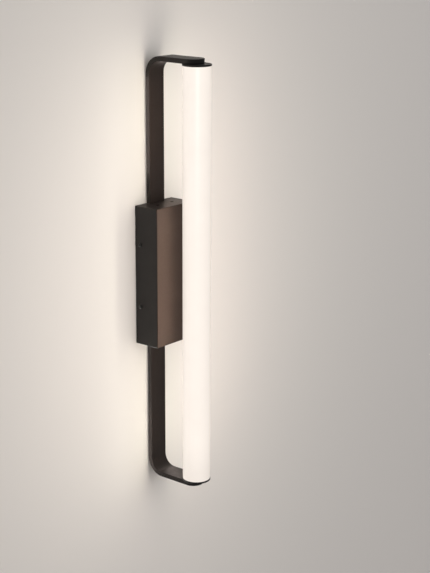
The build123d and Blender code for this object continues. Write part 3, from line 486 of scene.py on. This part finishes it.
def fastener_tree():
    """Puts one fastener on each point, its axis along the point's facing."""
    tree = Tree("fastener_set", Points="Geometry", Fastener="Object", Finish="Material")
    facing = tree.node("GeometryNodeInputNamedAttribute", {"Name": "facing"}, data_type="FLOAT_VECTOR")
    turn = tree.node(
        "FunctionNodeAlignRotationToVector", {"Vector": facing.outputs["Attribute"]}, axis="Z"
    )
    shape = tree.node("GeometryNodeObjectInfo", {"Object": tree.given("Fastener")})
    placed = tree.node("GeometryNodeInstanceOnPoints", {
        "Points": tree.given("Points"),
        "Instance": shape.outputs["Geometry"],
        "Rotation": turn.outputs["Rotation"],
    })
    return tree.end(placed.outputs["Instances"], tree.given("Finish"))


def package_tree():
    """A row of light-emitting packages on each face of the carrier: a pale body and a phosphor window."""
    tree = Tree(
        "package_rows", Axis="Vector", Offset="Vector", Step="Vector", Count="Int", Body_size="Vector",
        Body_seat="Vector", Window_size="Vector", Window_seat="Vector", Body="Material", Window="Material",
    )
    body = tree.node("GeometryNodeMeshCube", {"Size": tree.given("Body size")})
    body = tree.node("GeometryNodeTransform", {
        "Geometry": body.outputs["Mesh"], "Translation": tree.given("Body seat"),
    })
    window = tree.node("GeometryNodeMeshCube", {"Size": tree.given("Window size")})
    window = tree.node("GeometryNodeTransform", {
        "Geometry": window.outputs["Mesh"], "Translation": tree.given("Window seat"),
    })
    window = tree.node("GeometryNodeStoreNamedAttribute", {
        "Geometry": window.outputs["Geometry"], "Name": "marked", "Value": True,
    }, data_type="BOOLEAN", domain="FACE")
    line = tree.node("GeometryNodeMeshLine", {
        "Count": tree.given("Count"), "Start Location": tree.given("Offset"), "Offset": tree.given("Step"),
    })
    row = tree.node("GeometryNodeInstanceOnPoints", {
        "Points": line.outputs["Mesh"],
        "Instance": tree.joined(body.outputs["Geometry"], window.outputs["Geometry"]),
    })
    other = tree.node("GeometryNodeTransform", {
        "Geometry": row.outputs["Instances"], "Rotation": (0.0, 0.0, math.pi),
    })
    moved = tree.node("GeometryNodeTransform", {
        "Geometry": tree.joined(row.outputs["Instances"], other.outputs["Geometry"]),
        "Translation": tree.given("Axis"),
    })
    return tree.end(moved.outputs["Geometry"], tree.given("Body"), tree.given("Window"))


def tube_tree():
    """A tube of even wall with rounded rims: one rounded section swept round the axis."""
    tree = Tree(
        "rimmed_tube", Middle="Vector", Wall_radius="Float", Wall="Float", Length="Float",
        Rim_round="Float", Sides="Int", Finish="Material",
    )
    section = tree.node("GeometryNodeCurvePrimitiveQuadrilateral", {
        "Width": tree.given("Wall"), "Height": tree.given("Length"),
    })
    section = tree.node("GeometryNodeFilletCurve", {
        "Curve": section.outputs["Curve"], "Radius": tree.given("Rim round"), "Count": TUBE_RIM_STEPS,
    }, mode="POLY")
    ring = tree.node("GeometryNodeCurvePrimitiveCircle", {
        "Resolution": tree.given("Sides"), "Radius": tree.given("Wall radius"),
    })
    swept = tree.node("GeometryNodeCurveToMesh", {
        "Curve": ring.outputs["Curve"], "Profile Curve": section.outputs["Curve"],
    })
    moved = tree.node("GeometryNodeTransform", {
        "Geometry": swept.outputs["Mesh"], "Translation": tree.given("Middle"),
    })
    return tree.end(moved.outputs["Geometry"], tree.given("Finish"))


# Fasteners

def hex_reach(angle):
    """How far a hexagon of half width 1 reaches at an angle."""
    step = math.pi / 3
    return 1.0 / math.cos((angle + step / 2) % step - step / 2)


def turned(rings):
    """A turned shape from (radius, height, six-sided) rings, open at its first and last."""
    shape = bmesh.new()
    loops = []
    for radius, height, six_sided in rings:
        loop = []
        for i in range(TURNED_SEGMENTS):
            angle = 2 * math.pi * i / TURNED_SEGMENTS
            reach = radius * (hex_reach(angle) if six_sided else 1.0)
            loop.append(shape.verts.new((reach * math.cos(angle), reach * math.sin(angle), height)))
        loops.append(loop)
    for lower, upper in zip(loops, loops[1:]):
        for i in range(TURNED_SEGMENTS):
            j = (i + 1) % TURNED_SEGMENTS
            shape.faces.new((lower[i], lower[j], upper[j], upper[i]))
    return shape, loops


def turned_object(shape, name):
    """The finished turned shape as an object, smooth but for its edges."""
    bmesh.ops.recalc_face_normals(shape, faces=shape.faces)
    mesh = bpy.data.meshes.new(name)
    shape.to_mesh(mesh)
    shape.free()
    mesh.shade_smooth()
    mesh.set_sharp_from_angle(angle=SHARP_FASTENER_EDGE)
    return bpy.data.objects.new(name, mesh)


def screw_shape(name, head, rise, thread, pitch, key, length):
    """A screw along Z: tip, thread, domed or flush head and a six-sided key recess."""
    root = thread * (1 - THREAD_DEPTH)
    shoulder = 0.0 if rise else thread - head
    rings = [(root * TIP_RADIUS, -length, False), (root, -length + pitch, False)]
    height = -length + pitch
    while height + pitch < shoulder:
        rings.append((thread, height + pitch / 2, False))
        rings.append((root, height + pitch, False))
        height += pitch
    rings.append((thread if not rise else root, shoulder, False))
    if rise:
        rings.append((head, 0.0, False))
        for step in range(1, DOME_STEPS + 1):
            angle = step / DOME_STEPS * math.pi / 2
            radius = head * (DOME_CROWN + (1 - DOME_CROWN) * math.cos(angle))
            rings.append((radius, rise * (DOME_SIDE + (1 - DOME_SIDE) * math.sin(angle)), False))
        recess = rise * KEY_DEPTH
    else:
        rings.append((head - EDGE_ROUND, -EDGE_ROUND, False))
        rings.append((head - EDGE_ROUND, 0.0, False))
        recess = (head - thread) * KEY_DEPTH
    rings += [(key * KEY_MOUTH, rise, True), (key, rise - EDGE_ROUND, True), (key, rise - recess, True)]
    shape, loops = turned(rings)
    shape.faces.new(list(reversed(loops[0])))
    shape.faces.new(loops[-1])
    return turned_object(shape, name)


def nut_shape(name, flats, height, bore):
    """A hexagon nut that stands on the origin, its corners chamfered and its bore open."""
    half = flats / 2
    face = half * NUT_FACE
    mouth = bore * NUT_MOUTH
    chamfer = half * NUT_CHAMFER
    shape, _ = turned([
        (bore, 0.0, False), (mouth, 0.0, False), (face, 0.0, False),
        (half, chamfer / 2, True), (half, height - chamfer / 2, True),
        (face, height, False), (mouth, height, False), (bore, height - chamfer, False), (bore, 0.0, False),
    ])
    bmesh.ops.remove_doubles(shape, verts=shape.verts, dist=MERGE_REACH)
    return turned_object(shape, name)


FASTENER_TREE = fastener_tree()


def fastener_set(node, shape, places, slot, finish=None):
    """Replaces a group of packed fasteners by detailed ones at (place, facing) pairs."""
    points = bpy.data.meshes.new(node + "_points")
    points.from_pydata([place for place, facing in places], [], [])
    facing = points.attributes.new("facing", "FLOAT_VECTOR", "POINT")
    facing.data.foreach_set("vector", [value for place, facing in places for value in facing])
    scene.collection.objects.link(shape)
    values = {"Fastener": shape, "Finish": finish or FINISHES[slot]}
    piece = grown(node + "_detail", FASTENER_TREE, values, points)
    bpy.data.objects.remove(shape)
    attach(piece, "fixture")
    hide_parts(node)


def make_fasteners():
    """All screws and nuts that show when the lamp is off the wall."""
    canopy_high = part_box("canopy_cover")[1]
    screws_low, screws_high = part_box("side_screws")
    side_height = screws_high.z - SIDE_SCREW["head"]
    side_depth = (screws_low.y + screws_high.y) / 2
    corners = [(side, end) for side in (-1, 1) for end in (-1, 1)]
    fastener_set(
        "side_screws", screw_shape("side_screw", **SIDE_SCREW),
        [((s * canopy_high.x, side_depth, e * side_height), (s, 0, 0)) for s, e in corners], "dark_screws",
    )
    nut_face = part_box("side_nuts")[1].x - SIDE_NUT["height"]
    fastener_set(
        "side_nuts", nut_shape("side_nut", **SIDE_NUT),
        [((s * nut_face, side_depth, e * side_height), (s, 0, 0)) for s, e in corners], "zinc_fastener",
    )
    chassis_low, chassis_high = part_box("chassis_screws")
    chassis_x = chassis_high.x - CHASSIS_SCREW["head"]
    chassis_y = (chassis_low.y + chassis_high.y) / 2
    fastener_set(
        "chassis_screws", screw_shape("chassis_screw", **CHASSIS_SCREW),
        [((s * chassis_x, chassis_y, e * canopy_high.z), (0, 0, e)) for s, e in corners], "dark_screws",
        SUNK_SCREW,
    )
    arm_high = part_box("arm_screws")[1]
    arm_x = arm_high.x - ARM_SCREW["head"]
    outer_row = arm_high.z - ARM_SCREW["head"]
    spots = [(s * arm_x, e * row) for s, e in corners for row in (outer_row, outer_row - ARM_SCREW_PITCH)]
    fastener_set(
        "arm_screws", screw_shape("arm_screw", **ARM_SCREW),
        [((x, arm_high.y, z), (0, 1, 0)) for x, z in spots], "zinc_fastener",
    )
    nut_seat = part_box("arm_nuts")[1].y
    fastener_set(
        "arm_nuts", nut_shape("arm_nut", **ARM_NUT),
        [((x, nut_seat, z), (0, -1, 0)) for x, z in spots], "zinc_fastener",
    )


def make_hidden_screws():
    """The screws of the end caps, under the strips, and those inside the canopy."""
    cap_low, cap_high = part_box("cap_screws")
    cap_seat = cap_high.z - CAP_SCREW["rise"]
    cap_y = (cap_low.y + cap_high.y) / 2
    fastener_set(
        "cap_screws", screw_shape("cap_screw", **CAP_SCREW),
        [((0, cap_y, end * cap_seat), (0, 0, end)) for end in (-1, 1)], "zinc_fastener",
    )
    low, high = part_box("component_screws")
    seat = high.y - COMPONENT_SCREW["rise"]
    side = high.x - COMPONENT_SCREW["head"]
    driver_top = high.z - COMPONENT_SCREW["head"]
    terminal = low.z + COMPONENT_SCREW["head"]
    spots = [(0, driver_top), (0, DRIVER_SCREW_LOW), (-side, terminal), (side, terminal)]
    fastener_set(
        "component_screws", screw_shape("component_screw", **COMPONENT_SCREW),
        [((x, seat, z), (0, 1, 0)) for x, z in spots], "zinc_fastener",
    )
    low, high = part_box("earth_screw")
    middle = (low + high) / 2
    fastener_set(
        "earth_screw", screw_shape("earth_screw", **EARTH_SCREW),
        [((middle.x, high.y - EARTH_SCREW["rise"], middle.z), (0, 1, 0))], "zinc_fastener",
    )


def make_packages():
    """The rows of light-emitting packages inside the tube."""
    low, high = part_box("led_chips")
    middle = (low + high) / 2
    width, rise, length = CHIP_SIZE
    count = round((high.z - low.z - length) / CHIP_PITCH) + 1
    face = high.y - middle.y - rise / 2
    body_rise = rise * CHIP_BODY_SHARE
    piece = grown("led_packages", package_tree(), {
        "Axis": middle,
        "Offset": Vector((0, face, -(count - 1) * CHIP_PITCH / 2)),
        "Step": Vector((0, 0, CHIP_PITCH)),
        "Count": count,
        "Body size": Vector((width, body_rise, length)),
        "Body seat": Vector((0, (body_rise - rise) / 2, 0)),
        "Window size": Vector((width * CHIP_WINDOW, CHIP_WINDOW_DEPTH, length * CHIP_WINDOW)),
        "Window seat": Vector((0, (rise - CHIP_WINDOW_DEPTH) / 2, 0)),
        "Body": CHIP_BODY,
        "Window": FINISHES["chip_phosphor"],
    })
    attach(piece, "fixture")
    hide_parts("led_chips")


def make_tube():
    """The opal tube, finer and with rounded rims."""
    low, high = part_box("diffuser_tube")
    piece = grown("opal_tube", tube_tree(), {
        "Middle": (low + high) / 2,
        "Wall radius": (high.x - low.x - TUBE_WALL) / 2,
        "Wall": TUBE_WALL,
        "Length": high.z - low.z,
        "Rim round": TUBE_RIM_ROUND,
        "Sides": TUBE_SIDES,
        "Finish": FINISHES["opal_acrylic"],
    })
    piece.data.shade_smooth()
    piece.data.set_sharp_from_angle(angle=TUBE_SHARP_EDGE)
    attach(piece, "fixture")
    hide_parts("diffuser_tube")
    return piece


# Room, lights and camera

def sheet(name, corners, material):
    """A flat sheet of the room, which isn't part of the lamp."""
    mesh = bpy.data.meshes.new(name)
    mesh.from_pydata(corners, [], [range(len(corners))])
    mesh.materials.append(material)
    made = bpy.data.objects.new(name, mesh)
    scene.collection.objects.link(made)
    return made


def room_paint(name, colour):
    """Matt pale paint, clear from behind so that the lamp shows from there."""
    finish = Finish(name, Roughness=0.9, Specular_IOR_Level=0.2, Base_Color=(*colour, 1.0))
    clear = finish.node("ShaderNodeBsdfTransparent")
    side = finish.node("ShaderNodeNewGeometry")
    mix = finish.node("ShaderNodeMixShader")
    finish.join(side.outputs["Backfacing"], mix.inputs["Fac"])
    finish.join(finish.shader.outputs["BSDF"], mix.inputs[1])
    finish.join(clear.outputs["BSDF"], mix.inputs[2])
    finish.join(mix.outputs["Shader"], finish.tree.nodes["Material Output"].inputs["Surface"])
    return finish.material


def make_room():
    """Wall, floor and the soft light of the room."""
    floor_height = cad_box[0].z - FLOOR_DROP
    left, right = -WALL_REACH, WALL_REACH
    wall = sheet(
        "wall",
        [(left, WALL_GAP, floor_height), (right, WALL_GAP, floor_height),
         (right, WALL_GAP, WALL_REACH), (left, WALL_GAP, WALL_REACH)],
        room_paint("wall_paint", WALL_COLOUR),
    )
    wall.visible_shadow = False
    left, right = -FLOOR_REACH, FLOOR_REACH
    sheet(
        "floor",
        [(left, -FLOOR_REACH, floor_height), (right, -FLOOR_REACH, floor_height),
         (right, WALL_GAP, floor_height), (left, WALL_GAP, floor_height)],
        room_paint("floor_paint", FLOOR_COLOUR),
    )
    world = bpy.data.worlds.new("room")
    scene.world = world
    world.use_nodes = True
    tree = world.node_tree
    soft = tree.nodes["Background"]
    soft.inputs["Color"].default_value = (*ROOM_COLOUR, 1.0)
    way = tree.nodes.new("ShaderNodeTexCoord")
    toward = tree.nodes.new("ShaderNodeVectorMath")
    toward.operation = "DOT_PRODUCT"
    toward.inputs[1].default_value = ROOM_BRIGHT_SIDE
    level = tree.nodes.new("ShaderNodeMapRange")
    level.inputs["From Min"].default_value = -ROOM_TURN
    level.inputs["From Max"].default_value = ROOM_TURN
    level.inputs["To Min"].default_value = ROOM_DIM
    level.inputs["To Max"].default_value = ROOM_BRIGHT
    tree.links.new(way.outputs["Generated"], toward.inputs[0])
    tree.links.new(toward.outputs["Value"], level.inputs["Value"])
    tree.links.new(level.outputs["Result"], soft.inputs["Strength"])
    return wall


def lamp(name, kind, colour, energy, matrix, **settings):
    """A lamp that is sampled from its own side only, so that lamps of single pieces never count twice."""
    data = bpy.data.lights.new(name, kind)
    data.color = colour
    data.energy = energy
    data.cycles.use_multiple_importance_sampling = False
    for key, value in settings.items():
        setattr(data, key, value)
    made = bpy.data.objects.new(name, data)
    made.matrix_world = matrix
    made.visible_camera = False
    scene.collection.objects.link(made)
    return made


def facing_matrix(place, direction, upright):
    """The matrix of a lamp at a place that shines in a direction."""
    back = -direction.normalized()
    across = upright.cross(back).normalized()
    turn = Matrix((across, back.cross(across), back)).transposed()
    return Matrix.Translation(place) @ turn.to_4x4()


def linked(name, *pieces, state="INCLUDE"):
    """A collection of the pieces that a lamp lights or that shade it, or of those that it leaves out."""
    made = bpy.data.collections.new(name)
    for piece in pieces:
        made.objects.link(piece)
    for entry in made.collection_objects:
        entry.light_linking.link_state = state
    return made


def tube_panels(name, runs, colour, radius, receivers, blockers=None):
    """Rows of lamps round the tube's axis, each run of it at its own power."""
    low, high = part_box("diffuser_tube")
    axis = (low + high) / 2
    width = 2 * radius * math.tan(math.pi / GLOW_PANELS)
    for i in range(GLOW_PANELS):
        angle = 2 * math.pi * (i + 0.5) / GLOW_PANELS
        outward = Vector((math.cos(angle), math.sin(angle), 0))
        for j, (bottom, top, to_the_metre) in enumerate(runs):
            face = axis + outward * radius
            face.z = (bottom + top) / 2
            panel = lamp(
                f"{name}_{i}_{j}", "AREA", colour, to_the_metre * (top - bottom) / GLOW_PANELS,
                facing_matrix(face, outward, UPRIGHT), shape="RECTANGLE", size=width, size_y=top - bottom,
            )
            panel.light_linking.receiver_collection = receivers
            panel.light_linking.blocker_collection = blockers


def wall_lamp(name, receivers, place, size, power, colour, way=-ROOMWARD, shadow=True):
    """A soft lamp in the room that lights the wall alone."""
    made = lamp(
        name, "AREA", colour, power, facing_matrix(Vector(place), Vector(way), UPRIGHT),
        shape="RECTANGLE", size=size[0], size_y=size[1], use_shadow=shadow,
    )
    made.light_linking.receiver_collection = receivers


def make_lights(wall, tube):
    """The tube's light on the lamp and on the wall, the room's on the wall, and the suns."""
    wall_only = linked("wall_only", wall)
    all_but_wall = linked("all_but_wall", wall, state="EXCLUDE")
    low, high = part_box("diffuser_tube")
    tube_panels("glow", GLOW_RUNS, GLOW_COLOUR, (high.x - low.x) / 2 + GLOW_GAP, all_but_wall)
    bars = [nodes[f"{end}_{piece}"] for end in ("upper", "lower") for piece in ("arm", "groove_strip")]
    shadows = linked("halo_shadows", nodes["canopy_cover"], *bars)
    tube_panels("halo", HALO_RUNS, HALO_COLOUR, HALO_CORE, wall_only, shadows)
    for name, values in WALL_LAMPS.items():
        wall_lamp(name, wall_only, **values)
    aim = facing_matrix(-FRONT_WAY, FRONT_WAY, UPRIGHT)
    front = lamp("front", "SUN", FRONT_COLOUR, FRONT_STRENGTH, aim, angle=SUN_ANGLE)
    front.light_linking.receiver_collection = linked("tube_only", tube)
    backs = {
        "bars_back": (BARS_BACK_WAY, BARS_BACK_STRENGTH, linked("bars_only", *bars)),
        "back": (BACK_WAY, BACK_STRENGTH, linked("all_but_bars", *bars, state="EXCLUDE")),
    }
    for name, (way, strength, receivers) in backs.items():
        aim = facing_matrix(-way, way, UPRIGHT)
        back = lamp(name, "SUN", BACK_COLOUR, strength, aim, angle=SUN_ANGLE)
        back.light_linking.receiver_collection = receivers


def make_bounce():
    """What the lit wall throws back: beside the bars onto the arms, above the canopy onto its top."""
    arms_only = linked("arms_only", nodes["upper_arm"], nodes["lower_arm"])
    arm_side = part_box("upper_arm")[1].x + BOUNCE_GAP
    for j, (bottom, top, to_the_metre) in enumerate(BOUNCE_RUNS):
        for side in (-1, 1):
            place = Vector((side * (arm_side + BOUNCE_WIDTH / 2), BOUNCE_LIFT, (bottom + top) / 2))
            panel = lamp(
                f"bounce_{j}_{side}", "AREA", BOUNCE_COLOUR, to_the_metre * (top - bottom),
                facing_matrix(place, ROOMWARD, UPRIGHT),
                shape="RECTANGLE", size=BOUNCE_WIDTH, size_y=top - bottom,
            )
            panel.light_linking.receiver_collection = arms_only
    wide, tall = SHEEN_SIZE
    canopy_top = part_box("canopy_cover")[1].z + SHEEN_RISE
    place = Vector((arm_side + wide / 2, BOUNCE_LIFT, canopy_top + tall / 2))
    sheen = lamp(
        "sheen", "AREA", SHEEN_COLOUR, SHEEN_POWER, facing_matrix(place, ROOMWARD, UPRIGHT),
        shape="RECTANGLE", size=wide, size_y=tall,
    )
    sheen.light_linking.receiver_collection = linked("canopy_only", nodes["canopy_cover"])


def make_camera():
    """The photograph's view."""
    forward = Vector((
        math.sin(CAMERA_YAW) * math.cos(CAMERA_PITCH),
        math.cos(CAMERA_YAW) * math.cos(CAMERA_PITCH),
        -math.sin(CAMERA_PITCH),
    ))
    right = Vector((math.cos(CAMERA_YAW), -math.sin(CAMERA_YAW), 0))
    up = right.cross(forward)
    rolled_right = right * math.cos(CAMERA_ROLL) + up * math.sin(CAMERA_ROLL)
    rolled_up = up * math.cos(CAMERA_ROLL) - right * math.sin(CAMERA_ROLL)
    data = bpy.data.cameras.new("camera")
    data.lens = CAMERA_LENS
    data.sensor_width = CAMERA_SENSOR
    camera = bpy.data.objects.new("camera", data)
    turn = Matrix((rolled_right, rolled_up, -forward)).transposed()
    camera.matrix_world = Matrix.Translation(CAMERA_PLACE) @ turn.to_4x4()
    scene.collection.objects.link(camera)
    scene.camera = camera


scene.view_settings.view_transform = "Standard"
finish_solids()
make_fasteners()
make_hidden_screws()
make_packages()
make_lights(make_room(), make_tube())
make_bounce()
make_camera()
